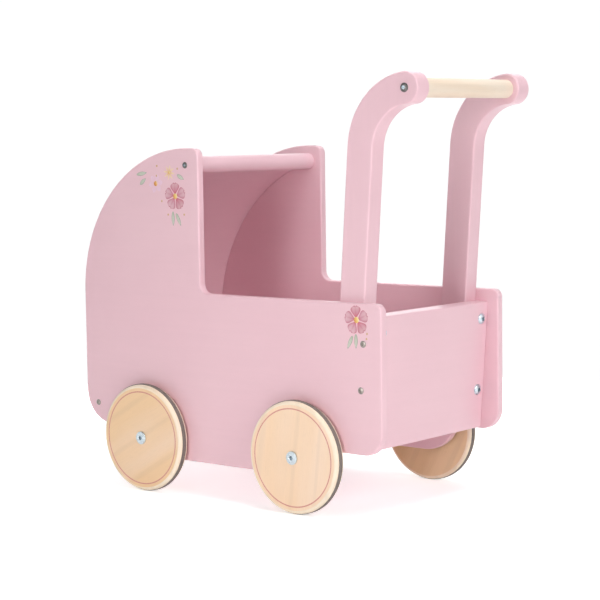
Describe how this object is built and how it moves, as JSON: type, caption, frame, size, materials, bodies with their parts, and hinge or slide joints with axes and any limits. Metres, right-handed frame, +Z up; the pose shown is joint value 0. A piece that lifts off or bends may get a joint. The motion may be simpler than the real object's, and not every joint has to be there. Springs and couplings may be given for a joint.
{
  "type": "doll stroller",
  "caption": "Wooden doll stroller with flat side panels, a quarter-round hood over an open tub, a raised push handle on bent arms and free-turning disc wheels.",
  "frame": {"origin": "on the ground, under the middle of the overall length and halfway between the side panels", "axes": "+Z up; +Y backwards, from the hood to the push handle; +X across, towards the left side panel, left as the child who pushes it sees it"},
  "size_m": [0.274, 0.499, 0.4864],
  "materials": {
    "pink_paint": "satin pink lacquer on smooth board and ply",
    "bare_wood": "fine sanded pale wood, clear matt varnish",
    "rubber": "matt grey-brown rubber",
    "nylon": "off-white nylon",
    "zinc_steel": "bright zinc plate"
  },
  "bodies": {
    "body": {"side_panel_left": "pink_paint", "side_panel_right": "pink_paint", "hood_sheet": "pink_paint", "hood_dowel": "pink_paint", "front_rail": "pink_paint", "rear_panel": "pink_paint", "floor_panel": "pink_paint", "handle_arm_left": "pink_paint", "handle_arm_right": "pink_paint", "handle_bar": "bare_wood", "axle_bolts": "zinc_steel", "wheel_spacers": "zinc_steel", "axle_washers": "zinc_steel", "axle_lock_nuts": "zinc_steel", "hood_dowel_screws": "zinc_steel", "front_rail_screws": "zinc_steel", "rear_panel_side_screws": "zinc_steel", "rear_panel_bolts": "zinc_steel", "arm_barrel_nuts": "zinc_steel", "handle_bar_bolts": "zinc_steel"},
    "wheel_front_left": {"wheel_disc_front_left": "bare_wood", "tread_band_front_left": "rubber", "hub_bush_front_left": "nylon"},
    "wheel_front_right": {"wheel_disc_front_right": "bare_wood", "tread_band_front_right": "rubber", "hub_bush_front_right": "nylon"},
    "wheel_rear_left": {"wheel_disc_rear_left": "bare_wood", "tread_band_rear_left": "rubber", "hub_bush_rear_left": "nylon"},
    "wheel_rear_right": {"wheel_disc_rear_right": "bare_wood", "tread_band_rear_right": "rubber", "hub_bush_rear_right": "nylon"}
  },
  "joints": [
    {"name": "front_left_wheel_spin", "type": "hinge", "parent": "body", "child": "wheel_front_left", "pos_m": [0.1275, -0.1403, 0.064], "axis": [1, 0, 0], "continuous": true},
    {"name": "front_right_wheel_spin", "type": "hinge", "parent": "body", "child": "wheel_front_right", "pos_m": [-0.1275, -0.1403, 0.064], "axis": [1, 0, 0], "continuous": true},
    {"name": "rear_left_wheel_spin", "type": "hinge", "parent": "body", "child": "wheel_rear_left", "pos_m": [0.1275, 0.0935, 0.064], "axis": [1, 0, 0], "continuous": true},
    {"name": "rear_right_wheel_spin", "type": "hinge", "parent": "body", "child": "wheel_rear_right", "pos_m": [-0.1275, 0.0935, 0.064], "axis": [1, 0, 0], "continuous": true}
  ]
}
